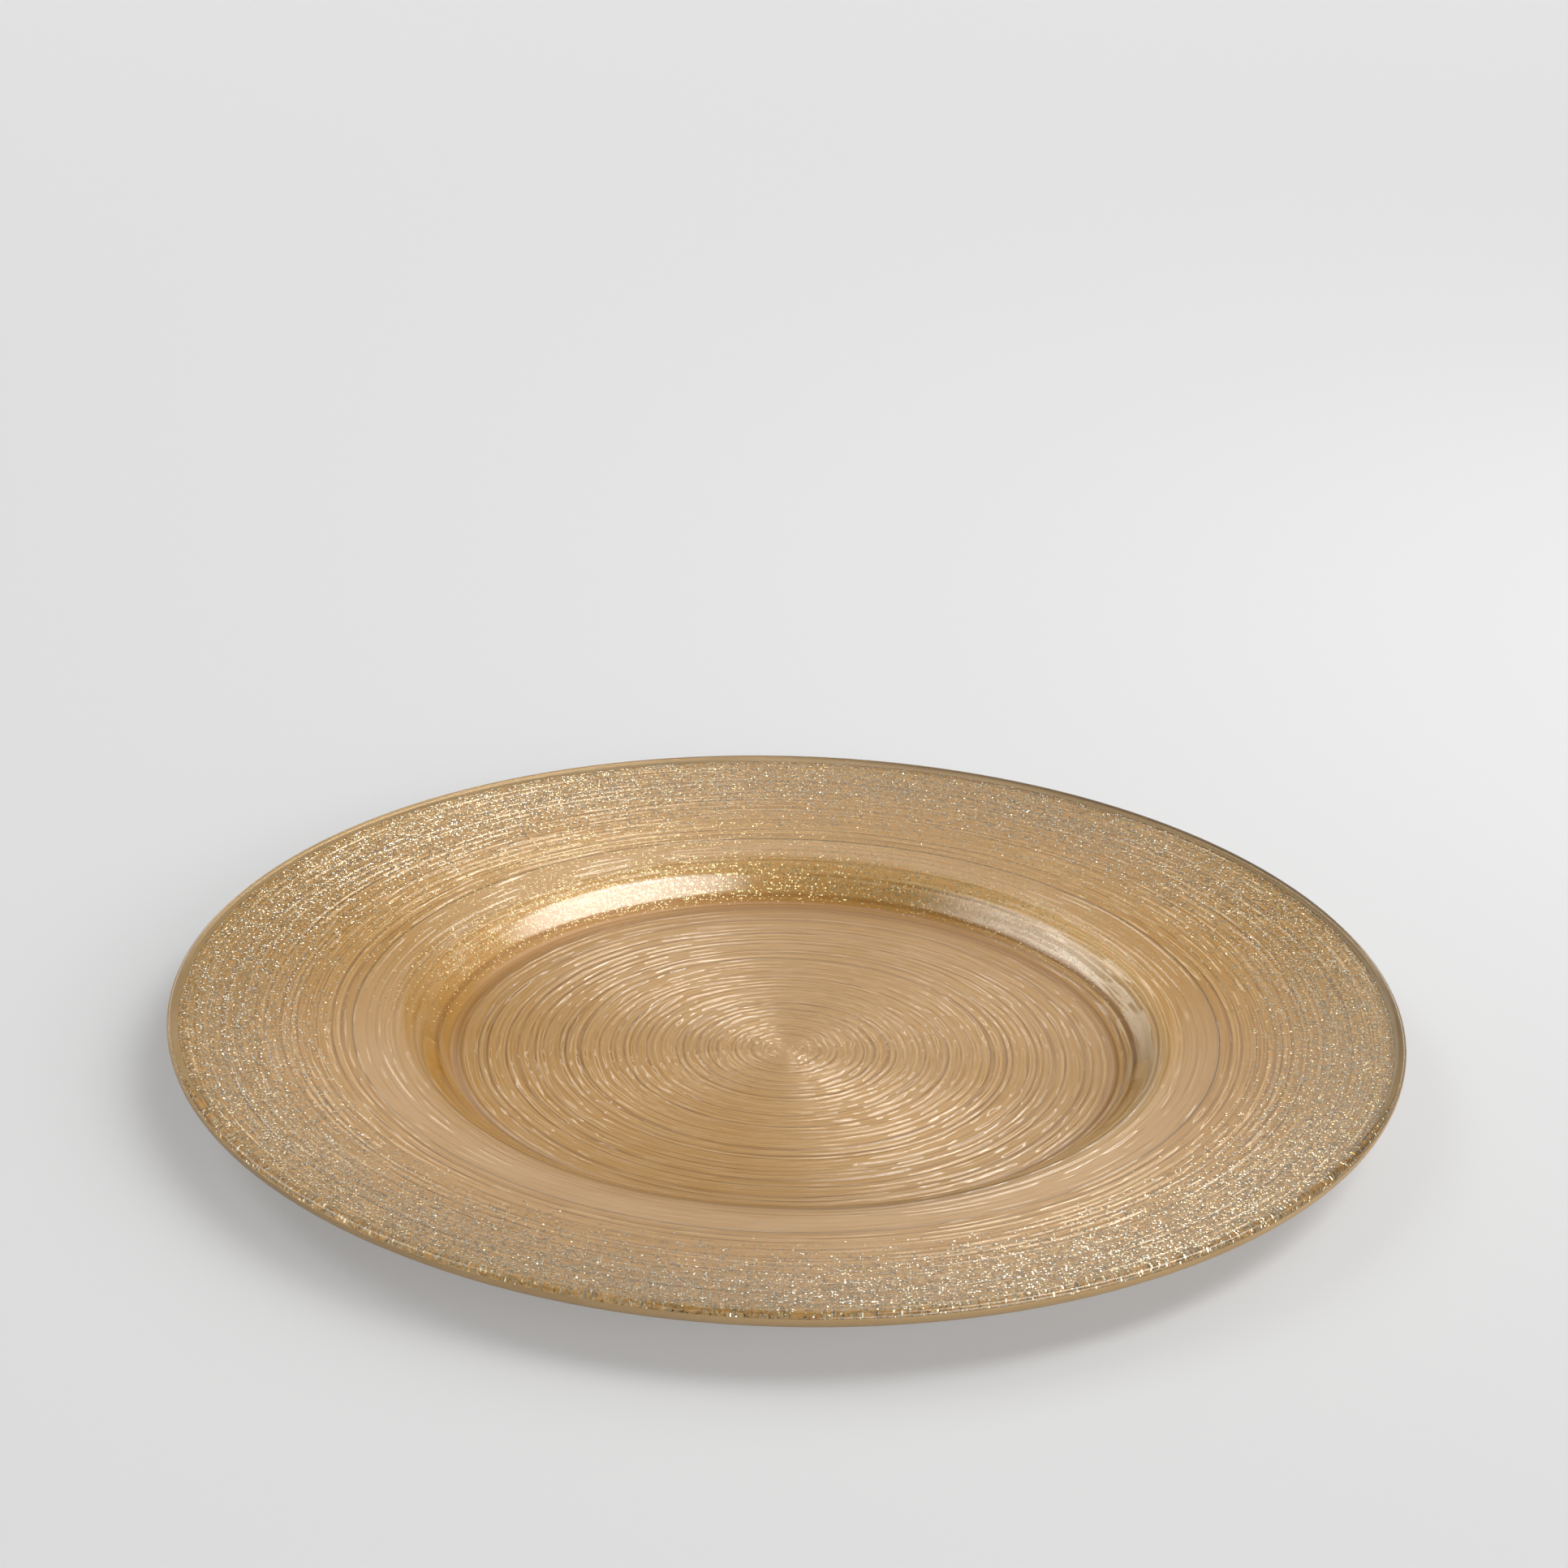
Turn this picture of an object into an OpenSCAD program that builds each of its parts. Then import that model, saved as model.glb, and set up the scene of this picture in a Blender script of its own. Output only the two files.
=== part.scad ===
// Round glass charger plate, decorated behind the glass.
// A clear slumped glass blank carries, on its underside, a clear size combed into rings,
// a band of glitter-filled size under the rim, a gold coat that fills the combed rings,
// and a seal coat that closes the stack, wraps round the glass edge and rests on the table.

/* [Plate] */
// Diameter across the coated edge
plate_d = 330; // [280:1:380]
// Radius of the flat floor of the well
floor_r = 88; // [76:0.5:98]
// Depth of the well, from its floor to the inner end of the rim
well_depth = 8.6; // [7:0.1:11]
// Slope of the well's wall in degrees
wall_angle = 42; // [34:1:50]
// Slope of the rim in degrees
rim_angle = 6.2; // [3:0.1:9]

/* [Glass] */
// Thickness of the glass
glass_t = 3.6; // [3:0.1:4.5]
// Radius of the hollow at the foot of the wall, on the upper face
foot_r = 9; // [6:0.5:12]
// Radius of the shoulder at the head of the wall, on the upper face
shoulder_r = 14; // [10:0.5:17]

/* [Combed rings] */
// Spacing of the combed rings on the floor
floor_pitch = 2; // [1.5:0.1:3]
// Spacing of the combed rings on the shoulder and the rim
rim_pitch = 1.9; // [1.5:0.1:3]
// Height of the tallest ring
ring_h = 0.26; // [0.1:0.02:0.4]
// Radius of the plain spot at the centre
centre_r = 1; // [0.5:0.1:4]
// How far the floor's rings climb the foot of the wall
climb_w = 4.6; // [1:0.1:6]
// How far the shoulder's rings run onto the rim
lip_w = 2.5; // [1:0.1:5]
// Width of the plain band between the shoulder's rings and the rim's rings
plain_w = 9; // [4:0.5:15]

/* [Coats] */
// Thickness of the size over the tallest ring
size_t = 0.3; // [0.2:0.05:0.5]
// Thickness of the gold coat between rings
gold_t = 0.3; // [0.2:0.05:0.5]
// Thickness of the seal coat
seal_t = 0.3; // [0.2:0.05:0.5]
// Width of the glitter band
glitter_w = 46; // [20:1:50]
// Width of the seal coat's lap on the glass, between the gold and the rounded edge
seal_lap = 0.9; // [0.5:0.1:2]
// How far the seal coat wraps up the rounded edge, in degrees above the middle of the edge
wrap_angle = 15; // [0:1:45]

/* [Hidden] */
$fn = 128;

// Points on each bend of the profile
bend_steps = 9;

// Level of the plain band among the rings, as a share of the ring height
plain_share = 0.5;
// Lowest ring, as a share of the tallest
low_ring_share = 0.3;
// How far a ring wanders from its even place, as a share of half the spacing
wander_share = 0.45;
// Turn between one ring and the next in the rule that makes them uneven, in degrees
uneven_turn = 137.5;
// Rings beside the foot of the wall that are combed to full height
deep_rings = 3;
// Reach of the wedge that cuts the seal coat's strip round the edge, as a share of the strip's radius
wedge_share = 2;
// Places of the wedge's corners between the ends of the strip
wedge_shares = [0, 0.5, 1];

// Depths of the faces below the upper face of the glass
size_low = glass_t + size_t + ring_h;
gold_low = size_low + gold_t;
seal_low = gold_low + seal_t;

// Height of the well's floor above the table
floor_z = seal_low;

// The upper face runs from the centre outwards: floor, foot, wall, shoulder, rim.
// Both bends shrink alike where the well is too shallow for them.
bend_rise = foot_r * (1 - cos(wall_angle)) + shoulder_r * (cos(rim_angle) - cos(wall_angle));
bend_share = min(1, well_depth / bend_rise);
foot_bend_r = foot_r * bend_share;
shoulder_bend_r = shoulder_r * bend_share;
wall_l = (well_depth - bend_rise * bend_share) / sin(wall_angle);

// Directions along a slope and down through the plate at that slope
function along(slope) = [cos(slope), sin(slope)];
function down(slope) = [sin(slope), -cos(slope)];

// Corners of the upper face and the centres of its bends
foot_centre = [floor_r, floor_z + foot_bend_r];
wall_start = foot_centre + foot_bend_r * down(wall_angle);
wall_stop = wall_start + wall_l * along(wall_angle);
shoulder_centre = wall_stop + shoulder_bend_r * down(wall_angle);
rim_start = shoulder_centre - shoulder_bend_r * down(rim_angle);

// The rounded edge is a half circle on the end of the rim, with the seal coat round its lower side
edge_r = glass_t / 2;
wrap_r = edge_r + seal_t;
edge_x = plate_d / 2 - wrap_r;
rim_l = (edge_x - edge_r * sin(rim_angle) - rim_start[0]) / cos(rim_angle);
edge_centre = rim_start + rim_l * along(rim_angle) + edge_r * down(rim_angle);

// Distances from the centre along the upper face to the end of each stretch, bend or coat
foot_end = floor_r + foot_bend_r * wall_angle * PI / 180;
wall_end = foot_end + wall_l;
shoulder_end = wall_end + shoulder_bend_r * (wall_angle - rim_angle) * PI / 180;
rim_end = shoulder_end + rim_l;
coat_end = rim_end - seal_lap;
glitter_start = coat_end - glitter_w;

// Distances along the upper face to the ends of the combed runs
climb_end = floor_r + min(climb_w, foot_end - floor_r);
lip_end = shoulder_end + lip_w;
rim_comb_start = lip_end + plain_w;

// Point at distance s along the upper face, sunk by depth through the plate
function skin(s, depth) =
    s <= floor_r ? [s, floor_z - depth] :
    s <= foot_end ? foot_skin((s - floor_r) / foot_bend_r * 180 / PI, depth) :
    s <= wall_end ? wall_start + (s - foot_end) * along(wall_angle) + depth * down(wall_angle) :
    s <= shoulder_end ? shoulder_skin(wall_angle - (s - wall_end) / shoulder_bend_r * 180 / PI, depth) :
    rim_start + (s - shoulder_end) * along(rim_angle) + depth * down(rim_angle);
function foot_skin(slope, depth) = foot_centre + (foot_bend_r + depth) * down(slope);
function shoulder_skin(slope, depth) = shoulder_centre - (shoulder_bend_r - depth) * down(slope);

// Places along the upper face that a smooth layer needs, between two ends
bend_places = [
    floor_r,
    for (i = [1:bend_steps]) floor_r + (foot_end - floor_r) * i / bend_steps,
    for (i = [0:bend_steps]) wall_end + (shoulder_end - wall_end) * i / bend_steps
];
function places(list, from, to) = [from, for (s = list) if (s > from && s < to) s, to];
function smooth_face(from, to, depth) = [for (s = places(bend_places, from, to)) skin(s, depth)];

// Underside of the glass, which also breaks where a coat ends, so that glass and coats meet edge to edge
function with_stop(list, stop) = [for (s = list) if (s < stop) s, stop, for (s = list) if (s > stop) s];
under_places = with_stop(with_stop(bend_places, glitter_start), coat_end);
function glass_under(from, to) = [for (s = places(under_places, from, to)) skin(s, glass_t)];

// Uneven but repeatable share for the ring with this number
function uneven_share(i) = (1 + sin(uneven_turn * i + uneven_turn * i * i / 2)) / 2;
function ring_share(i) = low_ring_share + (1 - low_ring_share) * uneven_share(i);

// A run of rings as [place, lift] pairs: crests, with a valley between one crest and the next
function comb(from, to, pitch, deep) =
    let (count = max(1, round((to - from) / pitch)), step = (to - from) / count)
    [for (i = [0:count - 1])
        let (wander = wander_share * (2 * uneven_share(i + count) - 1),
             crest = [from + (i + (1 + wander) / 2) * step, ring_h * (i < count - deep ? ring_share(i) : 1)],
             valley = [from + (i + 1) * step, 0])
        each i < count - 1 ? [crest, valley] : [crest]];
function plain(from, to) = [for (s = places(bend_places, from, to)) [s, ring_h * plain_share]];

// Combed face of the size from the centre to the end of the coats, as [place, lift] pairs
comb_line = concat(
    plain(0, centre_r),
    comb(centre_r, climb_end, floor_pitch, deep_rings),
    plain(climb_end, wall_end),
    comb(wall_end, lip_end, rim_pitch, 0),
    plain(lip_end, rim_comb_start),
    comb(rim_comb_start, coat_end, rim_pitch, 0),
    [[coat_end, ring_h * plain_share]]
);

// The combed face also breaks where the glitter starts, so that the gold meets both coats edge to edge
comb_places = with_stop([for (p = comb_line) p[0]], glitter_start);
function comb_skin(s) = skin(s, size_low - lookup(s, comb_line));
function combed_face(from, to) = [for (s = places(comb_places, from, to)) comb_skin(s)];

function reversed(list) = [for (i = [len(list) - 1:-1:0]) list[i]];

// Solid of revolution between an upper and a lower face, both from the centre outwards,
// together with any flat shapes given as children
module turned(upper, lower) {
    rotate_extrude() {
        polygon(concat(lower, reversed(upper)));
        children();
    }
}

// Clear blank of even thickness with a half-round edge
module glass_plate() {
    color([0.84, 0.90, 0.88, 0.35])
        turned(smooth_face(0, rim_end, 0), glass_under(0, rim_end))
            translate(edge_centre) circle(edge_r);
}

// Clear size under the floor, the wall and the inner rim
module clear_size() {
    color([0.93, 0.88, 0.76, 0.5])
        turned(glass_under(0, glitter_start), combed_face(0, glitter_start));
}

// Size filled with glitter under the outer rim
module glitter_band() {
    color([0.92, 0.81, 0.55])
        turned(glass_under(glitter_start, coat_end), combed_face(glitter_start, coat_end));
}

// Gold coat that fills the combed rings
module gold_coat() {
    color([0.78, 0.62, 0.40])
        turned(combed_face(0, coat_end), smooth_face(0, coat_end, gold_low));
}

// Flat shape of the seal coat's strip round the lower side of the edge
module edge_strip() {
    strip_start = rim_angle - 90;
    turns = [for (share = wedge_shares) strip_start + (wrap_angle - strip_start) * share];
    translate(edge_centre)
        intersection() {
            difference() {
                circle(wrap_r);
                circle(edge_r);
            }
            polygon([[0, 0], for (turn = turns) wedge_share * wrap_r * along(turn)]);
        }
}

// Seal coat over the gold, which closes against the glass beyond the gold and wraps up the edge
module seal_coat() {
    upper = concat(smooth_face(0, coat_end, gold_low), glass_under(coat_end, rim_end));
    lower = concat(smooth_face(0, coat_end, seal_low), [skin(rim_end, glass_t + seal_t)]);
    color([0.70, 0.57, 0.38])
        turned(upper, lower)
            edge_strip();
}

glass_plate();
clear_size();
glitter_band();
gold_coat();
seal_coat();
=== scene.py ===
import math
import random

import bpy
from mathutils import Matrix, Vector


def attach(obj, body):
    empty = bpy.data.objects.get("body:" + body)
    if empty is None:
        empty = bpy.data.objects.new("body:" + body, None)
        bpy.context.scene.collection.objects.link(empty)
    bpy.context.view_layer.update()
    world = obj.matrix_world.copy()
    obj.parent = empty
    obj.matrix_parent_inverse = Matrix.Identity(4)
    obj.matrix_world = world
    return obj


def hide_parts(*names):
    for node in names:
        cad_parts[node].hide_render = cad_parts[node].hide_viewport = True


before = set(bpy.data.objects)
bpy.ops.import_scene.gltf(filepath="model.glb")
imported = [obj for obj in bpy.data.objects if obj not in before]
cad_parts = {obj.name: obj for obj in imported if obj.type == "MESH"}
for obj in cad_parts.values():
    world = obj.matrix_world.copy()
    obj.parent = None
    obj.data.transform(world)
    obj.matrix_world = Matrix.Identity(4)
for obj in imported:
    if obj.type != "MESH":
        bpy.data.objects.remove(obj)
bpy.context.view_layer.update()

mm = 0.001
tiny = 1e-9
body = "root"
white = (1, 1, 1, 1)

# Profile of the plate: the same sizes as the solids, in metres and radians
plate = {
    "diameter": 330 * mm,
    "floorRadius": 88 * mm,
    "wellDepth": 8.6 * mm,
    "wallAngle": math.radians(42),
    "rimAngle": math.radians(6.2),
    "glass": 3.6 * mm,
    "footBend": 9 * mm,
    "shoulderBend": 14 * mm,
    "size": 0.3 * mm,
    "ring": 0.26 * mm,
    "gold": 0.3 * mm,
    "seal": 0.3 * mm,
    "glitterWidth": 46 * mm,
    "sealLap": 0.9 * mm,
    "wrapAngle": math.radians(15),
}

# Steps along smooth faces, the sharpest smooth edge, and the play between films
meshing = {
    "step": 6 * mm,
    "bendStep": 0.6 * mm,
    "sharp": math.radians(40),
    "filmGap": 0.012 * mm,
}

# Depths below the upper face of the glass
sizeLow = plate["glass"] + plate["size"] + plate["ring"]
goldLow = sizeLow + plate["gold"]
sealLow = goldLow + plate["seal"]
floorHeight = sealLow


def along(slope):
    return Vector((math.cos(slope), math.sin(slope)))


def down(slope):
    return Vector((math.sin(slope), -math.cos(slope)))


wall, rim = plate["wallAngle"], plate["rimAngle"]
footBend, shoulderBend = plate["footBend"], plate["shoulderBend"]
bendRise = footBend * (1 - math.cos(wall)) + shoulderBend * (math.cos(rim) - math.cos(wall))
wallLength = (plate["wellDepth"] - bendRise) / math.sin(wall)
footCentre = Vector((plate["floorRadius"], floorHeight + footBend))
wallShadeStart = footCentre + footBend * down(wall)
wallShadeStop = wallShadeStart + wallLength * along(wall)
shoulderCentre = wallShadeStop + shoulderBend * down(wall)
rimStart = shoulderCentre - shoulderBend * down(rim)
edgeRadius = plate["glass"] / 2
wrapRadius = edgeRadius + plate["seal"]
edgeReach = plate["diameter"] / 2 - wrapRadius
rimLength = (edgeReach - edgeRadius * math.sin(rim) - rimStart.x) / math.cos(rim)
edgeCentre = rimStart + rimLength * along(rim) + edgeRadius * down(rim)

# Distances from the centre along the upper face
footEnd = plate["floorRadius"] + footBend * wall
wallEnd = footEnd + wallLength
shoulderEnd = wallEnd + shoulderBend * (wall - rim)
rimEnd = shoulderEnd + rimLength
coatEnd = rimEnd - plate["sealLap"]
glitterStart = coatEnd - plate["glitterWidth"]


def slopeAt(s):
    if s <= plate["floorRadius"]:
        return 0.0
    if s <= footEnd:
        return (s - plate["floorRadius"]) / footBend
    if s <= wallEnd:
        return wall
    if s <= shoulderEnd:
        return wall - (s - wallEnd) / shoulderBend
    return rim


def skin(s, depth):
    # point (radius, height) at distance s along the upper face, sunk by depth
    slope = slopeAt(s)
    if s <= plate["floorRadius"]:
        return Vector((s, floorHeight - depth))
    if s <= footEnd:
        return footCentre + (footBend + depth) * down(slope)
    if s <= wallEnd:
        return wallShadeStart + (s - footEnd) * along(wall) + depth * down(wall)
    if s <= shoulderEnd:
        return shoulderCentre - (shoulderBend - depth) * down(slope)
    return rimStart + (s - shoulderEnd) * along(rim) + depth * down(rim)


def stations(start, stop):
    # places along a smooth face, close together only on the bends
    ends = [start, plate["floorRadius"], footEnd, wallEnd, shoulderEnd, stop]
    ends = sorted(s for s in ends if start <= s <= stop)
    places = []
    for a, b in zip(ends, ends[1:]):
        onFoot = plate["floorRadius"] - mm < a < footEnd - mm
        onShoulder = wallEnd - mm < a < shoulderEnd - mm
        step = meshing["bendStep"] if onFoot or onShoulder else meshing["step"]
        count = max(1, round((b - a) / step))
        places += [a + (b - a) * i / count for i in range(count)]
    return places + [stop]


def smoothFace(start, stop, depth):
    return [skin(s, depth) for s in stations(start, stop)]


def edgeArc(radius, start, stop, steps):
    # part of the rounded edge, with angles from level outwards
    turns = [start + (stop - start) * i / steps for i in range(steps + 1)]
    return [edgeCentre + radius * along(turn) for turn in turns]


def newPiece(name, points, faces):
    mesh = bpy.data.meshes.new(name)
    mesh.from_pydata(points, [], faces)
    mesh.validate()
    piece = bpy.data.objects.new(name, mesh)
    bpy.context.scene.collection.objects.link(piece)
    return piece


def turned(name, profile, segments):
    # solid of revolution of a closed profile; points on the axis become one vertex
    points, faces, rings = [], [], []
    for radius, height in profile:
        if radius < tiny:
            rings.append([len(points)])
            points.append((0.0, 0.0, height))
            continue
        rings.append(list(range(len(points), len(points) + segments)))
        for i in range(segments):
            turn = 2 * math.pi * i / segments
            points.append((radius * math.cos(turn), radius * math.sin(turn), height))
    for low, high in zip(rings, rings[1:] + rings[:1]):
        if len(low) == 1 and len(high) == 1:
            continue
        for i in range(segments):
            j = (i + 1) % segments
            if len(low) == 1:
                faces.append((low[0], high[j], high[i]))
            elif len(high) == 1:
                faces.append((low[i], low[j], high[0]))
            else:
                faces.append((low[i], low[j], high[j], high[i]))
    piece = newPiece(name, points, faces)
    piece.data.shade_smooth()
    piece.data.set_sharp_from_angle(angle=meshing["sharp"])
    return piece


def fit(piece, node, material):
    # every piece rides on the one body; all but the loose flakes stand for a solid
    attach(piece, body)
    if node:
        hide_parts(node)
    piece.data.materials.append(material)
    print("made", piece.name, len(piece.data.polygons), "faces")


class Nodes:
    # short way to add and join the nodes of one material or world
    def __init__(self, name, store="materials", end="ShaderNodeOutputMaterial"):
        self.owner = getattr(bpy.data, store).new(name)
        self.owner.use_nodes = True
        self.tree = self.owner.node_tree
        self.tree.nodes.clear()
        self.out = self.add(end)

    def join(self, socket, value):
        if isinstance(value, bpy.types.NodeSocket):
            self.tree.links.new(value, socket)
        else:
            socket.default_value = value

    def add(self, kind, inputs=None, **settings):
        node = self.tree.nodes.new(kind)
        for key, value in settings.items():
            setattr(node, key, value)
        for key, value in (inputs or {}).items():
            self.join(node.inputs[key], value)
        return node

    def math(self, operation, a, b=0.0, clamp=False):
        node = self.add("ShaderNodeMath", {0: a, 1: b}, operation=operation, use_clamp=clamp)
        return node.outputs[0]

    def chain(self, operation, values):
        result = values[0]
        for value in values[1:]:
            result = self.math(operation, result, value)
        return result

    def times(self, *values):
        return self.chain("MULTIPLY", values)

    def total(self, *values):
        return self.chain("ADD", values)

    def most(self, *values):
        return self.chain("MAXIMUM", values)

    def vector(self, operation, inputs, result="Vector"):
        return self.add("ShaderNodeVectorMath", inputs, operation=operation).outputs[result]

    def dot(self, a, b):
        return self.vector("DOT_PRODUCT", {0: a, 1: b}, "Value")

    def mix(self, factor, a, b):
        # mix of two colours
        return self.add("ShaderNodeMix", {0: factor, 6: a, 7: b}, data_type="RGBA").outputs[2]

    def blend(self, factor, a, b):
        # mix of two directions
        node = self.add("ShaderNodeMix", {0: factor, 4: a, 5: b}, data_type="VECTOR")
        return self.vector("NORMALIZE", {0: node.outputs[1]})

    def over(self, factor, a, b):
        # mix of two shaders
        return self.add("ShaderNodeMixShader", {0: factor, 1: a, 2: b}).outputs[0]

    def spread(self, value, reach, to=(0.0, 1.0)):
        # a value between two ends, carried over to two others
        inputs = {"Value": value, "From Min": reach[0], "From Max": reach[1],
                  "To Min": to[0], "To Max": to[1]}
        return self.add("ShaderNodeMapRange", inputs, clamp=True).outputs[0]

    def noise(self, where, scale, detail=2.0, rough=0.5, dimensions="3D"):
        socket = "W" if dimensions == "1D" else "Vector"
        inputs = {socket: where, "Scale": scale, "Detail": detail, "Roughness": rough}
        return self.add("ShaderNodeTexNoise", inputs, noise_dimensions=dimensions).outputs["Fac"]

    def bump(self, height, strength, distance):
        inputs = {"Height": height, "Strength": strength, "Distance": distance}
        return self.add("ShaderNodeBump", inputs).outputs[0]

    def place(self):
        return self.add("ShaderNodeTexCoord").outputs["Object"]

    def flat(self, place):
        return self.vector("MULTIPLY", {0: place, 1: (1, 1, 0)})

    def radius(self, place):
        # distance from the plate's axis in millimetres
        return self.times(self.vector("LENGTH", {0: self.flat(place)}, "Value"), 1 / mm)

    def outward(self, place):
        return self.vector("NORMALIZE", {0: self.flat(place)})

    def arcs(self, place, radius, grain):
        # place for noise that runs round the plate: turns set the length of an arc
        turns, perMm = grain
        around = self.vector("SCALE", {0: self.outward(place), "Scale": turns})
        rise = self.add("ShaderNodeCombineXYZ", {"Z": self.times(radius, perMm)}).outputs[0]
        return self.vector("ADD", {0: around, 1: rise})

    def band(self, radius, reach, soft):
        # 1 between two radii in millimetres, with soft ends
        start, stop = reach
        rise = self.spread(radius, (start - soft, start + soft))
        return self.times(rise, self.spread(radius, (stop - soft, stop + soft), (1.0, 0.0)))

    def leaned(self, leans):
        # the surface's own direction, pushed some way along each of a few directions
        normal = self.add("ShaderNodeNewGeometry").outputs["Normal"]
        for way, lean in leans:
            push = self.vector("SCALE", {0: way, "Scale": lean})
            normal = self.vector("ADD", {0: normal, 1: push})
        return self.vector("NORMALIZE", {0: normal})

    def specks(self, place, foil, density):
        # small foil specks, each with its own tilt: where they are, their normal and a chance
        inputs = {"Vector": place, "Scale": 1 / foil["speck"]}
        cells = self.add("ShaderNodeTexVoronoi", inputs, feature="F1").outputs
        chance = self.add("ShaderNodeSeparateColor", {0: cells["Color"]}).outputs
        near = self.math("LESS_THAN", cells["Distance"], foil["speckShare"])
        speck = self.times(near, self.math("LESS_THAN", chance[0], density))
        out = self.outward(place)
        side = self.vector("CROSS_PRODUCT", {0: (0, 0, 1), 1: out})
        shares = ((out, chance[1]), (side, chance[2]))
        leans = [(way, self.spread(share, (0.0, 1.0), (-tilt, tilt)))
                 for (way, share), tilt in zip(shares, foil["speckTilts"])]
        return speck, self.leaned(leans), chance[2]

    def principled(self, inputs):
        return self.add("ShaderNodeBsdfPrincipled", inputs).outputs[0]

    def finish(self, shader):
        self.join(self.out.inputs["Surface"], shader)
        return self.owner


# Camera, at the photograph's own place
view = {
    "frame": 1932,
    "aimPixel": (968.5, 1292.9),
    "aimHeight": 3.26 * mm,
    "elevation": math.radians(27.335),
    "distance": 1090 * mm,
    "focalPixels": 4961,
    "roll": math.radians(1.62),
    "sensor": 36,
    "clipStart": 0.01,
}


def makeCamera():
    half = view["frame"] / 2
    focal = view["focalPixels"]
    rise, run = math.sin(view["elevation"]), math.cos(view["elevation"])
    aim = Vector([(pixel - half) / focal for pixel in view["aimPixel"]] + [1]).normalized()
    rollCos, rollSin = math.cos(view["roll"]), math.sin(view["roll"])
    rolled = Matrix(((rollCos, rollSin, 0), (-rollSin, rollCos, 0), (0, 0, 1)))
    level = rolled @ aim
    pitch = math.asin(rise / math.hypot(level.y, level.z)) - math.atan2(level.y, level.z)
    pitchCos, pitchSin = math.cos(pitch), math.sin(pitch)
    tilted = Matrix(((1, 0, 0), (0, -pitchSin, pitchCos), (0, -pitchCos, -pitchSin)))
    yaw = math.atan2(level.x, level.z * pitchCos - level.y * pitchSin)
    yawCos, yawSin = math.cos(yaw), math.sin(yaw)
    swung = Matrix(((yawCos, -yawSin, 0), (yawSin, yawCos, 0), (0, 0, 1)))
    turn = swung @ tilted @ rolled  # columns: right, down and forward of the view
    axes = Matrix((turn.col[0], -turn.col[1], -turn.col[2])).transposed()
    camera = bpy.data.objects.new("plateCamera", bpy.data.cameras.new("plateCamera"))
    camera.data.sensor_width = view["sensor"]
    camera.data.lens = focal * view["sensor"] / view["frame"]
    camera.data.clip_start = view["clipStart"]
    stand = Vector((0, -run, rise)) * view["distance"] + Vector((0, 0, view["aimHeight"]))
    camera.matrix_world = Matrix.Translation(stand) @ axes.to_4x4()
    bpy.context.scene.collection.objects.link(camera)
    bpy.context.scene.camera = camera
    print("camera set")


makeCamera()

# Glass blank
glassBlank = {
    "segments": 192,
    "edgeSteps": 24,
    "ior": 1.5,
    "tint": (0.985, 0.995, 0.985, 1),
    "roughness": 0.015,
    "rippleScale": 26,
    "ripple": (0.12, 0.4 * mm),
    "bondInset": 3 * mm,
    "facingDown": -0.5,
    "filmCloud": 40,
}


def passLight(nodes, seen):
    # lamps and bounced light go straight through; only what is looked at directly is bent
    path = nodes.add("ShaderNodeLightPath").outputs
    loose = nodes.most(path["Is Shadow Ray"], path["Is Diffuse Ray"], path["Is Glossy Ray"])
    clear = nodes.add("ShaderNodeBsdfTransparent").outputs[0]
    return nodes.over(loose, seen, clear)


def polishedGlass():
    nodes = Nodes("polishedGlass")
    ripple = nodes.noise(nodes.place(), glassBlank["rippleScale"])
    inputs = {"Base Color": glassBlank["tint"], "Roughness": glassBlank["roughness"],
              "IOR": glassBlank["ior"], "Transmission Weight": 1.0,
              "Normal": nodes.bump(ripple, *glassBlank["ripple"])}
    return nodes.finish(passLight(nodes, nodes.principled(inputs)))


def bondedGlass():
    # underside, where the coats stick to the glass and nothing mirrors
    nodes = Nodes("bondedGlass")
    inputs = {"Color": glassBlank["tint"], "Roughness": 0.0, "IOR": glassBlank["ior"]}
    glass = nodes.add("ShaderNodeBsdfRefraction", inputs).outputs[0]
    return nodes.finish(passLight(nodes, glass))


def clearFilm(name, tint):
    nodes = Nodes(name)
    tone = nodes.mix(nodes.noise(nodes.place(), glassBlank["filmCloud"]), tint, white)
    return nodes.finish(nodes.add("ShaderNodeBsdfTransparent", {"Color": tone}).outputs[0])


def makeGlass():
    upper = smoothFace(0, rimEnd, 0)
    lower = smoothFace(0, rimEnd, plate["glass"])
    edge = edgeArc(edgeRadius, rim - math.pi / 2, rim + math.pi / 2, glassBlank["edgeSteps"])
    piece = turned("glass_blank", lower + edge[1:-1] + upper[::-1], glassBlank["segments"])
    fit(piece, "glass_plate", polishedGlass())
    piece.data.materials.append(bondedGlass())
    piece.data.materials.append(clearFilm("wrappedGlass", glassBlank["tint"]))
    bonded = skin(coatEnd - glassBlank["bondInset"], plate["glass"]).x
    wrapSlope = math.sin(plate["wrapAngle"])
    wrapTop = edgeCentre.y + edgeRadius * wrapSlope
    for face in piece.data.polygons:
        reach = face.center.to_2d().length
        if face.normal.z < glassBlank["facingDown"] and reach < bonded:
            face.material_index = 1
        elif reach >= bonded and face.normal.z < wrapSlope and face.center.z < wrapTop:
            face.material_index = 2


makeGlass()

# Combed rings, in the gold and under the clear coats
comb = {
    "floorPitch": 2.0 * mm,
    "rimPitch": 1.9 * mm,
    "centre": 1.0 * mm,
    "climb": 4.6 * mm,
    "lip": 2.5 * mm,
    "plain": 9.0 * mm,
    "plainShare": 0.5,
    "lowShare": 0.3,
    "wanderShare": 0.45,
    "turn": math.radians(137.5),
    "deepRings": 3,
    "deepMargin": 0.4 * mm,
    "reliefShare": 0.45,
}

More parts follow.
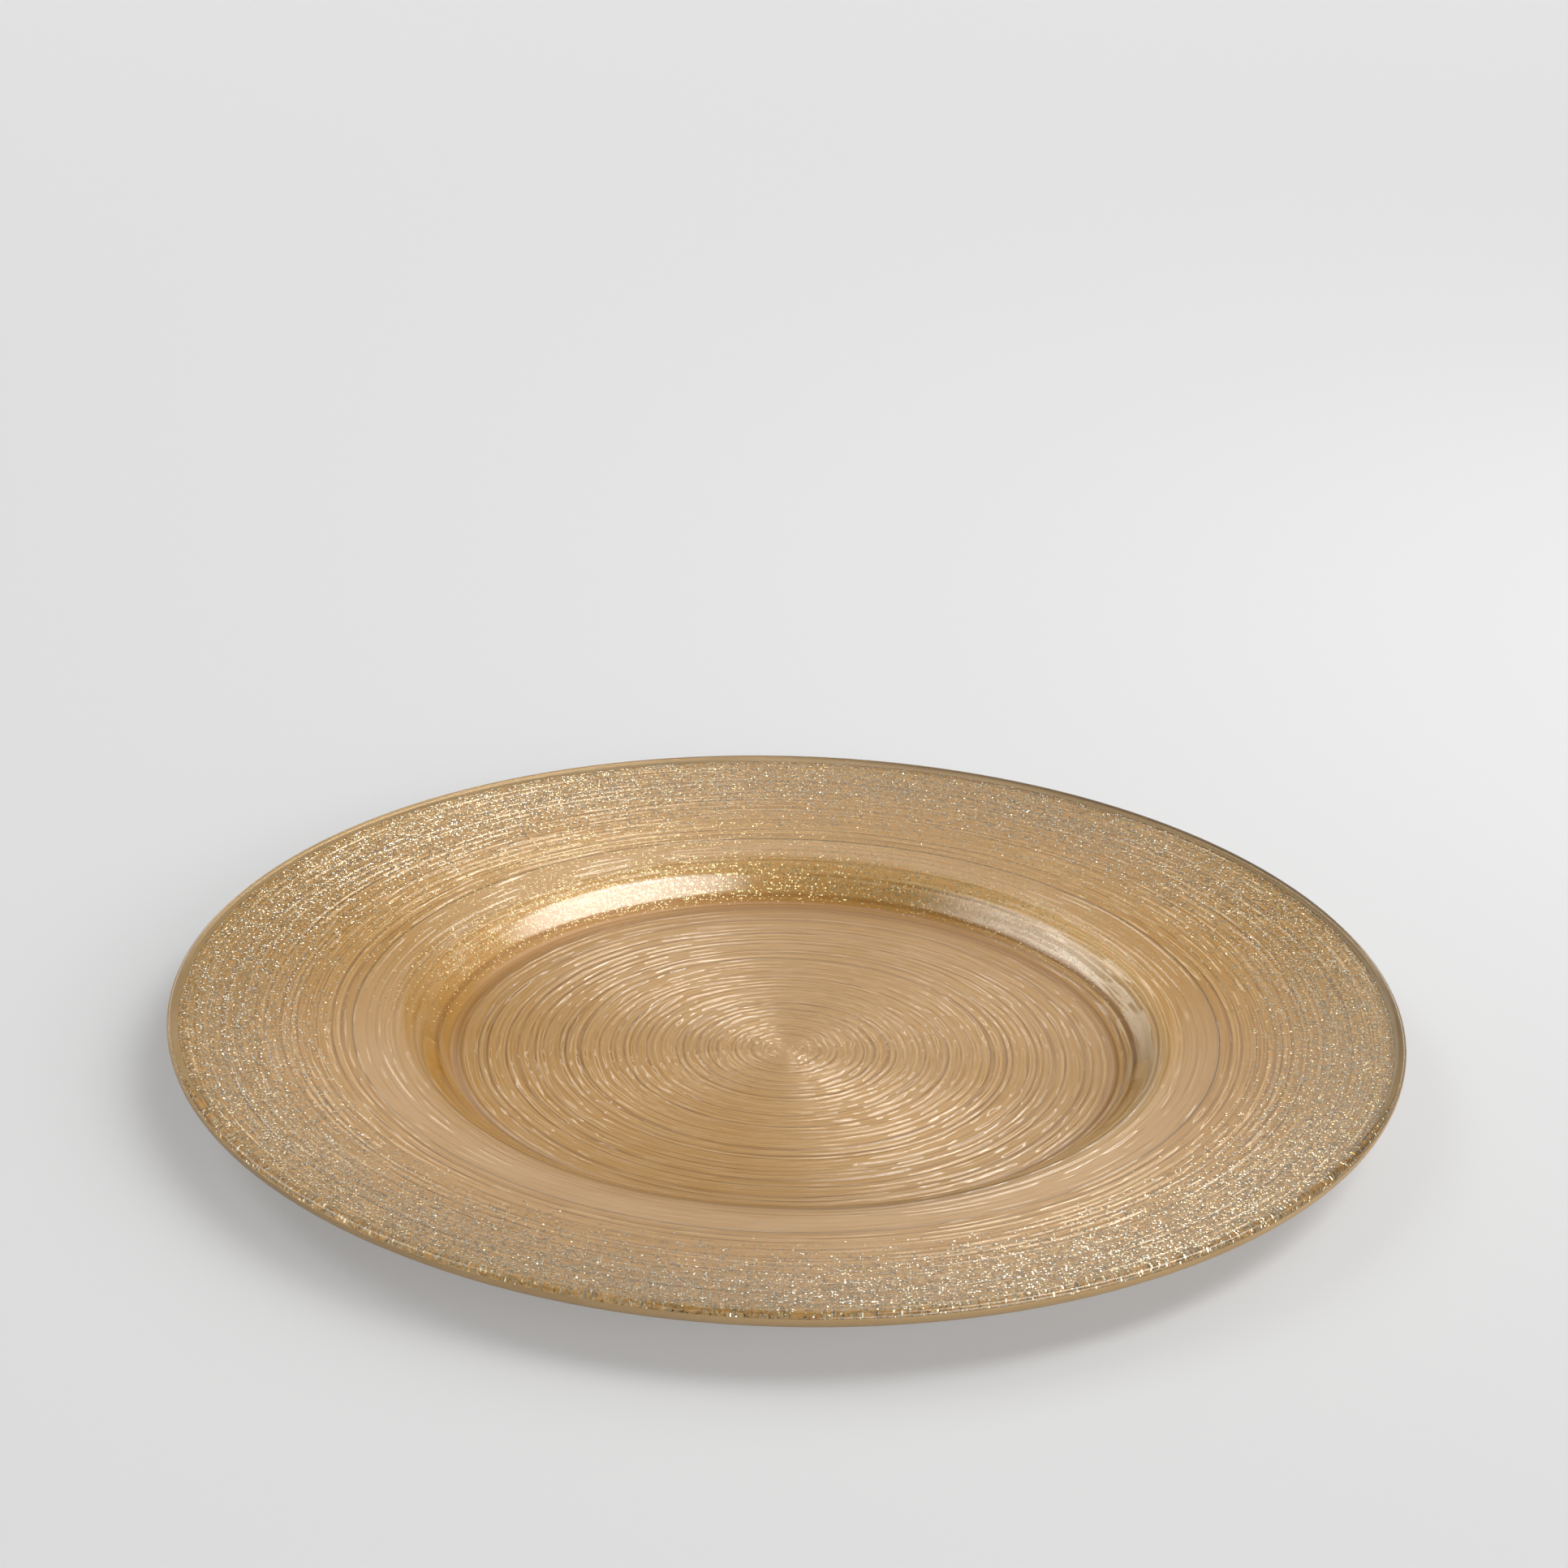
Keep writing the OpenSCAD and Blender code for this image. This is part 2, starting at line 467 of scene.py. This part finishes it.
climbEnd = plate["floorRadius"] + min(comb["climb"], footEnd - plate["floorRadius"])
lipEnd = shoulderEnd + comb["lip"]
rimCombStart = lipEnd + comb["plain"]
plainLift = plate["ring"] * comb["plainShare"]


def unevenShare(i):
    return (1 + math.sin(comb["turn"] * i + comb["turn"] * i * i / 2)) / 2


def combRun(start, stop, pitch, deep):
    # crests with a valley between one and the next, as place and lift
    count = max(1, math.floor((stop - start) / pitch + 0.5))
    step = (stop - start) / count
    run = []
    for i in range(count):
        wander = comb["wanderShare"] * (2 * unevenShare(i + count) - 1)
        share = comb["lowShare"] + (1 - comb["lowShare"]) * unevenShare(i)
        if i >= count - deep:
            share = 1.0
        run.append((start + (i + (1 + wander) / 2) * step, plate["ring"] * share))
        if i < count - 1:
            run.append((start + (i + 1) * step, 0.0))
    return run


def plainRun(start, stop):
    return [(start, plainLift), (stop, plainLift)]


combLine = (plainRun(0, comb["centre"])
            + combRun(comb["centre"], climbEnd, comb["floorPitch"], comb["deepRings"])
            + plainRun(climbEnd, wallEnd)
            + combRun(wallEnd, lipEnd, comb["rimPitch"], 0)
            + plainRun(lipEnd, rimCombStart)
            + combRun(rimCombStart, coatEnd, comb["rimPitch"], 0)
            + [(coatEnd, plainLift)])


def eased(low, high, share):
    # rounded rise from one height to the next
    return low + (high - low) * (1 - math.cos(math.pi * share)) / 2


def combLift(s):
    for (a, low), (b, high) in zip(combLine, combLine[1:]):
        if a <= s <= b:
            return eased(low, high, (s - a) / max(b - a, tiny))
    return combLine[-1][1]


def combedPlaces(start, stop, step):
    # rounded crests and valleys through the same points as the solids
    places = [(start, combLift(start))]
    for (a, low), (b, high) in zip(combLine, combLine[1:]):
        if b <= start or a >= stop or b - a < tiny:
            continue
        count = max(1, round((b - a) / step))
        for i in range(1, count + 1):
            s = a + (b - a) * i / count
            if start < s < stop - tiny:
                places.append((s, eased(low, high, i / count)))
    return places + [(stop, combLift(stop))]


def combedFace(start, stop, step, raised=0.0):
    # away from the foot of the wall the rings are worn shallower than their crests
    face = []
    for s, lift in combedPlaces(start, stop, step):
        deep = abs(s - plate["floorRadius"]) < comb["climb"] + comb["deepMargin"]
        worn = lift if deep else plainLift + (lift - plainLift) * comb["reliefShare"]
        face.append(skin(s, sizeLow - worn - raised))
    return face


def radiusAt(s):
    # radius in millimetres of a place on the combed face
    return skin(s, sizeLow).x / mm


# Gold coat: radii in millimetres, places along X and Y in metres;
# a pair of pairs carries one reach over to another, and noise has scale, detail, roughness
goldCoat = {
    "segments": 128,
    "step": 0.25 * mm,
    "champagne": (0.55, 0.295, 0.074, 1),
    # amber: ring hollows, partly painted shade, and the foot rings with their painted shade
    "amber": (0.30, 0.135, 0.022, 1),
    # pale: colour of the painted sheen on the ring crests
    "pale": (0.72, 0.47, 0.20, 1),
    # colour of the painted shade on the wall
    "wallShadeGold": (0.44, 0.225, 0.048, 1),
    # colour of the painted light on the right of the wall
    "wallLightGold": (0.80, 0.49, 0.18, 1),
    "ior": 1.7,
    "anisotropy": 0.9,
    "anisotropyTurn": 0.25,
    "metallic": ((0.0, 1.0), (0.15, 0.9)),
    "roughness": ((0.6, 1.4), (0.42, 0.58)),
    "glossIor": 2.35,
    "glossRoughness": 0.3,
    "dullFoot": ((0.0, 0.7), (1.0, 0.1)),
    "dullWall": ((0.0, 1.0), (1.0, 0.06)),
    "combedSoft": 2.0,
    "combedEnds": (-10, 200),
    "faintRings": ((0.0, 1.0), (0.35, 1.0)),
    "ringNoise": (0.6, 1.0, 0.6),
    "hairNoise": (1.2, 1.0, 0.6),
    "cloudNoise": (18, 3.0),
    "brokenNoise": (1.0, 2.0, 0.6),
    "brokenArcs": (3.2, 0.8),
    "broken": ((0.36, 0.62), (0.3, 1.0)),
    "ringHollowShade": ((0.36, 0.43), (0.65, 0.0)),
    "hairHollowShade": ((0.36, 0.44), (0.35, 0.0)),
    "hairCrestSheen": ((0.55, 0.65), (0.0, 0.6)),
    "relief": (1.0, 0.1 * mm),
    "wallShadeStart": ((86, 91), (0.0, 1.0)),
    "wallShadeStop": ((97, 110), (1.0, 0.0)),
    "wallShadeSide": ((-0.01, 0.055), (1.0, 0.15)),
    "bandSoft": 3.0,
    "wallLightBand": (95, 105),
    "wallLightSide": ((0.045, 0.085), (0.0, 0.75)),
    "footSoft": 0.35,
    "footRings": ((88.4, 90.4), (94.8, 96.4)),
    # painted shade beside the foot rings, darker towards the back
    "footShadeStart": ((74, 88), (0.0, 1.0)),
    "footShadeStop": ((95, 97), (1.0, 0.0)),
    "footShadeFar": ((0.02, 0.085), (0.15, 0.6)),
    "footAmberAndShade": 0.85,
    "speck": 0.6 * mm,
    "speckShare": 0.45,
    "speckTilts": (0.7, 0.25),
    "speckColour": (0.92, 0.78, 0.46, 1),
    "speckBands": (((95, 107), 0.7), ((107, 130), 0.3)),
    "strayWay": (-0.1, 0.99, 0),
    "strayReach": (0.0, 0.09),
    "streakPitch": 2.3,
    "streakNoise": (1.0, 1.0, 0.5),
    "streakArcs": (2.2, 0.16),
    "streakWander": 1.5,
    "breakArcs": (6.5, 0.5),
    "streakLean": ((0.42, 0.58), (0.12, 1.15)),
    "streakFade": ((128, 142), (1.0, 0.4)),
    "streakCentre": ((0.0, 16.0), (0.35, 1.0)),
}


def combedBands(nodes, radius):
    # where the comb touched the coat: floor and foot, shoulder, rim; faint rings between them
    first, last = goldCoat["combedEnds"]
    reaches = ((first, radiusAt(climbEnd)), (radiusAt(wallEnd), radiusAt(lipEnd)),
               (radiusAt(rimCombStart), last))
    bands = [nodes.band(radius, reach, goldCoat["combedSoft"]) for reach in reaches]
    return nodes.spread(nodes.total(*bands), *goldCoat["faintRings"])


def wallShade(nodes, radius, where):
    # painted shade: the wall darker and a deeper gold, strongest on the left and at the back, where
    # it mirrors the dark room
    return nodes.times(nodes.spread(radius, *goldCoat["wallShadeStart"]),
                       nodes.spread(radius, *goldCoat["wallShadeStop"]),
                       nodes.spread(where["X"], *goldCoat["wallShadeSide"]))


def footRingsAndShade(nodes, radius, where):
    # amber rings at the foot of the wall, and painted shade beside them, strongest at the back
    # where the bend mirrors the dark wall
    rings = [nodes.band(radius, reach, goldCoat["footSoft"]) for reach in goldCoat["footRings"]]
    shade = nodes.times(nodes.spread(radius, *goldCoat["footShadeStart"]),
                        nodes.spread(radius, *goldCoat["footShadeStop"]),
                        nodes.spread(where["Y"], *goldCoat["footShadeFar"]))
    return nodes.most(nodes.total(*rings), shade)


def goldStreaks(nodes, radius, place, combed):
    # evenly spaced rows that wander and break into arcs, as a lean of the gloss
    wanderPlace = nodes.arcs(place, radius, goldCoat["streakArcs"])
    wander = nodes.noise(wanderPlace, *goldCoat["streakNoise"])
    rows = nodes.total(nodes.times(radius, 1 / goldCoat["streakPitch"]),
                       nodes.times(wander, goldCoat["streakWander"]))
    rows = nodes.math("SINE", nodes.times(rows, 2 * math.pi))
    breakPlace = nodes.arcs(place, radius, goldCoat["breakArcs"])
    breaks = nodes.noise(breakPlace, *goldCoat["streakNoise"])
    lean = nodes.times(rows, nodes.spread(breaks, *goldCoat["streakLean"]),
                       nodes.spread(radius, *goldCoat["streakFade"]), combed,
                       nodes.spread(radius, *goldCoat["streakCentre"]))
    return nodes.leaned([(nodes.outward(place), lean)])


def goldSpecks(nodes, radius, place):
    # foil that strayed from the glitter onto the shoulder and the wall, most of it at the back
    stray = nodes.spread(nodes.dot(place, goldCoat["strayWay"]), goldCoat["strayReach"])
    bands = [nodes.times(nodes.band(radius, reach, goldCoat["bandSoft"]), share)
             for reach, share in goldCoat["speckBands"]]
    return nodes.specks(place, goldCoat, nodes.times(nodes.total(*bands), stray))[:2]


def combedGold():
    nodes = Nodes("combedGold")
    place = nodes.place()
    radius = nodes.radius(place)
    where = nodes.add("ShaderNodeSeparateXYZ", {0: place}).outputs
    combed = combedBands(nodes, radius)
    rings = nodes.noise(radius, *goldCoat["ringNoise"], "1D")
    hairs = nodes.noise(radius, *goldCoat["hairNoise"], "1D")
    cloud = nodes.noise(place, *goldCoat["cloudNoise"])
    brokenPlace = nodes.arcs(place, radius, goldCoat["brokenArcs"])
    broken = nodes.noise(brokenPlace, *goldCoat["brokenNoise"])
    shown = nodes.times(combed, nodes.spread(broken, *goldCoat["broken"]))

    # colour: amber in the ring hollows, partly the amber showing where the comb thinned the gold
    # and partly painted shade; paler crests as painted sheen; painted shade on the wall and beside
    # its foot rings; painted light on the right of the wall; and the stray foil
    hollowShade = nodes.total(nodes.spread(rings, *goldCoat["ringHollowShade"]),
                        nodes.spread(hairs, *goldCoat["hairHollowShade"]))
    hollowShade = nodes.math("MULTIPLY", hollowShade, shown, True)
    crestSheen = nodes.times(nodes.spread(hairs, *goldCoat["hairCrestSheen"]), shown)
    # painted shade on the wall, left and back
    shadedWall = wallShade(nodes, radius, where)
    # painted light: a paler band on the right of the wall, where it mirrors the left panel
    paintedWallLight = nodes.times(nodes.band(radius, goldCoat["wallLightBand"], goldCoat["bandSoft"]),
                         nodes.spread(where["X"], *goldCoat["wallLightSide"]))
    foot = footRingsAndShade(nodes, radius, where)
    speck, foilNormal = goldSpecks(nodes, radius, place)
    tone = goldCoat["champagne"]
    for share, colour in ((hollowShade, "amber"), (crestSheen, "pale"), (shadedWall, "wallShadeGold"),
                          (paintedWallLight, "wallLightGold"), (nodes.times(foot, goldCoat["footAmberAndShade"]), "amber"),
                          (speck, "speckColour")):
        tone = nodes.mix(share, tone, goldCoat[colour])

    # relief and gloss: uneven rings below, rows that catch the light in short arcs above
    relief = nodes.bump(nodes.times(nodes.total(rings, hairs), shown), *goldCoat["relief"])
    gloss = nodes.times(nodes.spread(nodes.most(speck, foot), *goldCoat["dullFoot"]),
                        nodes.spread(shadedWall, *goldCoat["dullWall"]))
    tangent = nodes.add("ShaderNodeTangent", direction_type="RADIAL", axis="Z").outputs[0]
    inputs = {
        "Base Color": tone,
        "Metallic": nodes.spread(speck, *goldCoat["metallic"]),
        "Roughness": nodes.spread(nodes.total(hairs, cloud), *goldCoat["roughness"]),
        "IOR": goldCoat["ior"],
        "Normal": nodes.blend(speck, relief, foilNormal),
        "Anisotropic": goldCoat["anisotropy"],
        "Anisotropic Rotation": goldCoat["anisotropyTurn"],
        "Tangent": tangent,
        "Coat Weight": gloss,
        "Coat IOR": goldCoat["glossIor"],
        "Coat Roughness": goldCoat["glossRoughness"],
        "Coat Normal": goldStreaks(nodes, radius, place, combed),
    }
    return nodes.finish(nodes.principled(inputs))


def makeGold():
    upper = combedFace(0, coatEnd, goldCoat["step"])
    lower = smoothFace(0, coatEnd, goldLow)
    piece = turned("gold_combed_coat", lower + upper[::-1], goldCoat["segments"])
    fit(piece, "gold_coat", combedGold())


makeGold()


def turnedFilm(name, start, stop, film):
    # clear coat between the glass and the combed gold, a little short of both
    upper = smoothFace(start, stop, plate["glass"] + meshing["filmGap"])
    lower = combedFace(start, stop, film["step"], meshing["filmGap"])
    return turned(name, lower + upper[::-1], film["segments"])


# Clear size
clearSize = {
    "segments": 96,
    "step": 0.5 * mm,
    "tint": (0.99, 0.97, 0.93, 1),
}


def makeSize():
    piece = turnedFilm("clear_size_film", 0, glitterStart, clearSize)
    fit(piece, "clear_size", clearFilm("clearSizeFilm", clearSize["tint"]))


makeSize()

# Glitter band: a clear film full of foil specks, and small tilted flakes in it
glitter = {
    "segments": 96,
    "step": 0.5 * mm,
    "tint": (0.99, 0.97, 0.92, 1),
    "colour": (0.72, 0.56, 0.28, 1),
    "paleColour": (0.96, 0.97, 0.88, 1),
    "speck": 0.62 * mm,
    "speckShare": 0.42,
    "speckTilts": (0.9, 0.18),
    "speckRoughness": 0.42,
    "crowd": ((122, 148), (0.0, 0.5)),
    "rowNoise": (0.55, 1.0, 0.5),
    "rowCrowd": ((0.3, 0.7), (0.7, 1.3)),
    "seed": 11,
    "flakes": 9500,
    "flakeRadius": (0.16 * mm, 0.30 * mm),
    "flakeCorners": 6,
    "flakeRoughness": ((0.0, 1.0), (0.3, 0.42)),
    "thick": 0.02 * mm,
    "tilt": math.radians(13),
    "tiltRoom": 0.3,
    "depthShares": (0.35, 0.7),
    "fade": 0.45,
    "rowSpread": 0.35 * mm,
    "endGaps": (1.0 * mm, 0.3 * mm),
}


def glitterFoil():
    nodes = Nodes("glitterFoil")
    chance = nodes.add("ShaderNodeNewGeometry").outputs["Random Per Island"]
    inputs = {"Base Color": nodes.mix(chance, glitter["colour"], glitter["paleColour"]),
              "Metallic": 1.0, "Roughness": nodes.spread(chance, *glitter["flakeRoughness"])}
    return nodes.finish(nodes.principled(inputs))


def glitterFilm():
    # clear film with small foil specks in it, each tilted its own way
    nodes = Nodes("glitterFilm")
    place = nodes.place()
    radius = nodes.radius(place)
    rows = nodes.noise(radius, *glitter["rowNoise"], "1D")
    crowd = nodes.times(nodes.spread(radius, *glitter["crowd"]),
                        nodes.spread(rows, *glitter["rowCrowd"]))
    speck, normal, chance = nodes.specks(place, glitter, crowd)
    inputs = {"Base Color": nodes.mix(chance, glitter["colour"], glitter["paleColour"]),
              "Metallic": 1.0, "Roughness": glitter["speckRoughness"], "Normal": normal}
    clear = nodes.add("ShaderNodeBsdfTransparent", {"Color": glitter["tint"]}).outputs[0]
    return nodes.finish(nodes.over(speck, clear, nodes.principled(inputs)))


def flakePlaces(dice):
    # places in rows along the combed rings, closer together towards the edge
    places = []
    first, last = glitterStart + glitter["endGaps"][0], coatEnd - glitter["endGaps"][1]
    while len(places) < glitter["flakes"]:
        share = dice.random() ** glitter["fade"]
        row = round((coatEnd - glitterStart) * share / comb["rimPitch"])
        s = glitterStart + row * comb["rimPitch"] + dice.gauss(0, glitter["rowSpread"])
        if first < s < last:
            places.append(s)
    return places


def flakePoints(s, dice):
    # corners of one thin flake, lower face first, with a small tilt inside the film's room
    turn = dice.uniform(0, 2 * math.pi)
    size = dice.uniform(*glitter["flakeRadius"])
    room = plate["size"] + plate["ring"] - combLift(s)
    radius, height = skin(s, plate["glass"] + room * dice.uniform(*glitter["depthShares"]))
    slope = slopeAt(s)
    out = Vector((math.cos(turn), math.sin(turn), 0))
    side = Vector((-math.sin(turn), math.cos(turn), 0))
    ahead = out * math.cos(slope) + Vector((0, 0, math.sin(slope)))
    up = ahead.cross(side)
    limit = math.asin(min(1.0, room * glitter["tiltRoom"] / size))
    lean = max(-limit, min(limit, dice.gauss(0, glitter["tilt"])))
    sway = max(-limit, min(limit, dice.gauss(0, glitter["tilt"])))
    normal = (up + ahead * math.tan(lean) + side * math.tan(sway)).normalized()
    first = normal.cross(side).normalized()
    second = normal.cross(first)
    centre = out * radius + Vector((0, 0, height))
    corner = 2 * math.pi / glitter["flakeCorners"]
    spin = dice.uniform(0, corner)
    ways = [spin + corner * k for k in range(glitter["flakeCorners"])]
    rimPoints = [centre + size * (first * math.cos(w) + second * math.sin(w)) for w in ways]
    half = normal * glitter["thick"] / 2
    return [point - half for point in rimPoints] + [point + half for point in rimPoints]


def makeFlakes():
    dice = random.Random(glitter["seed"])
    count = glitter["flakeCorners"]
    points, faces = [], []
    for s in flakePlaces(dice):
        base, top = len(points), len(points) + count
        points += flakePoints(s, dice)
        faces.append([base + k for k in range(count)][::-1])
        faces.append([top + k for k in range(count)])
        for k in range(count):
            j = (k + 1) % count
            faces.append((base + k, base + j, top + j, top + k))
    fit(newPiece("glitter_flakes", points, faces), None, glitterFoil())


def makeGlitter():
    piece = turnedFilm("glitter_film", glitterStart, coatEnd, glitter)
    fit(piece, "glitter_band", glitterFilm())
    makeFlakes()


makeGlitter()

# Seal coat
sealCoat = {
    "segments": 160,
    "wrapSteps": 14,
    "tan": (0.45, 0.30, 0.145, 1),
    "deepTan": (0.38, 0.245, 0.11, 1),
    "metallic": 0.35,
    "cloudNoise": (30, 3.0),
    "cloudReach": (0.3, 0.7),
    "roughness": (0.34, 0.46),
    "peelScale": 900,
    "peel": (0.3, 0.04 * mm),
}


def satinSeal():
    nodes = Nodes("satinSeal")
    place = nodes.place()
    cloud = nodes.noise(place, *sealCoat["cloudNoise"])
    share = nodes.spread(cloud, sealCoat["cloudReach"])
    peel = nodes.noise(place, sealCoat["peelScale"])
    inputs = {"Base Color": nodes.mix(share, sealCoat["deepTan"], sealCoat["tan"]),
              "Metallic": sealCoat["metallic"],
              "Roughness": nodes.spread(cloud, sealCoat["cloudReach"], sealCoat["roughness"]),
              "Normal": nodes.bump(peel, *sealCoat["peel"])}
    return nodes.finish(nodes.principled(inputs))


def makeSeal():
    gap = meshing["filmGap"]
    start, stop, steps = rim - math.pi / 2, plate["wrapAngle"], sealCoat["wrapSteps"]
    outside = smoothFace(0, coatEnd, sealLow) + edgeArc(wrapRadius, start, stop, steps)
    lap = [skin(coatEnd, plate["glass"] + gap), skin(coatEnd, goldLow + gap)]
    under = smoothFace(0, coatEnd, goldLow + gap)[-2::-1]
    inside = edgeArc(edgeRadius + gap, stop, start, steps) + lap + under
    piece = turned("seal_under_coat", outside + inside, sealCoat["segments"])
    fit(piece, "seal_coat", satinSeal())


makeSeal()

# Pale floor and backdrop, and the room that the plate mirrors
studio = {
    "floorReach": 8.0,
    "floorColour": (0.67, 0.67, 0.668, 1),
    "floorRoughness": 0.9,
    "floorSpecular": 0.1,
    "nearGlow": (0.67, 0.67, 0.67, 1),
    "farGlow": (0.94, 0.94, 0.94, 1),
    "glowReach": (-0.3, 1.6),
    "glowWay": (0.35, 0.94, 0),
    "glowShare": 0.4,
    "horizon": (0.12, 0.12, 0.12, 1),
    "overhead": (0.10, 0.10, 0.10, 1),
    "horizonReach": (0.0, 0.75),
    "backdrop": (0.80, 0.80, 0.80, 1),
}

# soft panels of light in the room: direction, long way, half length and half width as sines,
# where the fade from the middle ends as a share of these, brightness at the middle
panels = {
    "keySoftbox": {"toward": (0.53, -0.02, 0.848), "along": (0.489, 0.623, -0.319),
                   "reach": (0.47, 0.185), "fade": 1.5, "light": 9.4},
    "leftPanel": {"toward": (-0.64, 0.24, 0.73), "along": (-0.154, 0.417, -0.297),
                  "reach": (0.42, 0.22), "fade": 1.5, "light": 3.6},
    "backPanel": {"toward": (0.048, 0.923, 0.383), "along": (1, 0, 0),
                  "reach": (0.15, 0.15), "fade": 1.0, "light": 0.6},
    "highPanel": {"toward": (0.026, 0.743, 0.669), "along": (1, 0, 0),
                  "reach": (0.34, 0.2), "fade": 1.0, "light": 0.85},
    "lowPanel": {"toward": (0, 0.978, 0.208), "along": (1, 0, 0),
                 "reach": (0.6, 0.15), "fade": 1.0, "light": 0.3},
    "frontPanel": {"toward": (0.6, -0.72, 0.35), "along": (0.77, 0.64, 0),
                   "reach": (0.6, 0.25), "fade": 1.3, "light": 6.0},
}

# near lamp that lifts the back and the right of the plate; it is not mirrored
nearFill = {
    "place": (0.54, 0.30, 0.46),
    "size": 0.5,
    "radiance": 2.5,
}


def lookedAt(nodes):
    # 1 where the floor is seen directly, mirrored or through glass
    path = nodes.add("ShaderNodeLightPath").outputs
    return nodes.most(path["Is Camera Ray"], path["Is Glossy Ray"], path["Is Transmission Ray"])


def makeFloor():
    reach = studio["floorReach"]
    corners = [(-reach, -reach, 0), (reach, -reach, 0), (reach, reach, 0), (-reach, reach, 0)]
    floor = newPiece("studioFloor", corners, [(0, 1, 2, 3)])
    nodes = Nodes("palePaper")
    paper = nodes.principled({"Base Color": studio["floorColour"],
                              "Roughness": studio["floorRoughness"],
                              "Specular IOR Level": studio["floorSpecular"]})
    away = nodes.spread(nodes.dot(nodes.place(), studio["glowWay"]), studio["glowReach"])
    tone = nodes.mix(away, studio["nearGlow"], studio["farGlow"])
    glow = nodes.add("ShaderNodeEmission", {"Color": tone}).outputs[0]
    share = nodes.times(lookedAt(nodes), studio["glowShare"])
    floor.data.materials.append(nodes.finish(nodes.over(share, paper, glow)))


def panelLight(nodes, toward, panel):
    # brightest at the middle, fading out over an oval
    ahead = Vector(panel["toward"]).normalized()
    longWay = Vector(panel["along"])
    longWay = (longWay - ahead * longWay.dot(ahead)).normalized()
    ways = (longWay / panel["reach"][0], ahead.cross(longWay) / panel["reach"][1])
    parts = [nodes.dot(toward, way) for way in ways]
    behind = nodes.math("LESS_THAN", nodes.dot(toward, ahead), 0.0)
    far = nodes.total(*[nodes.times(part, part) for part in parts], behind)
    inputs = {"Value": far, "From Min": panel["fade"], "From Max": 0.0, "To Max": panel["light"]}
    inside = nodes.add("ShaderNodeMapRange", inputs, interpolation_type="SMOOTHSTEP").outputs[0]
    return nodes.add("ShaderNodeBackground", {"Color": white, "Strength": inside}).outputs[0]


def makeWorld():
    # a dark room with soft panels lights the plate; looked at directly, the backdrop is pale
    nodes = Nodes("studioWorld", "worlds", "ShaderNodeOutputWorld")
    toward = nodes.add("ShaderNodeTexCoord").outputs["Generated"]
    height = nodes.add("ShaderNodeSeparateXYZ", {0: toward}).outputs["Z"]
    rise = nodes.spread(height, studio["horizonReach"])
    tone = nodes.mix(rise, studio["horizon"], studio["overhead"])
    room = nodes.add("ShaderNodeBackground", {"Color": tone}).outputs[0]
    for panel in panels.values():
        light = panelLight(nodes, toward, panel)
        room = nodes.add("ShaderNodeAddShader", {0: room, 1: light}).outputs[0]
    pale = nodes.add("ShaderNodeBackground", {"Color": studio["backdrop"]}).outputs[0]
    seen = nodes.add("ShaderNodeLightPath").outputs["Is Camera Ray"]
    bpy.context.scene.world = nodes.finish(nodes.over(seen, room, pale))


def makeFill():
    data = bpy.data.lights.new("nearFill", "AREA")
    data.shape = "DISK"
    data.size = nearFill["size"]
    data.energy = nearFill["radiance"] * math.pi * (math.pi / 4 * data.size ** 2)
    light = bpy.data.objects.new("nearFill", data)
    light.location = nearFill["place"]
    light.rotation_euler = Vector(nearFill["place"]).to_track_quat("Z", "Y").to_euler()
    light.visible_glossy = False
    bpy.context.scene.collection.objects.link(light)


makeFloor()
makeWorld()
makeFill()
bpy.context.scene.view_settings.view_transform = "Standard"
print("studio lit")
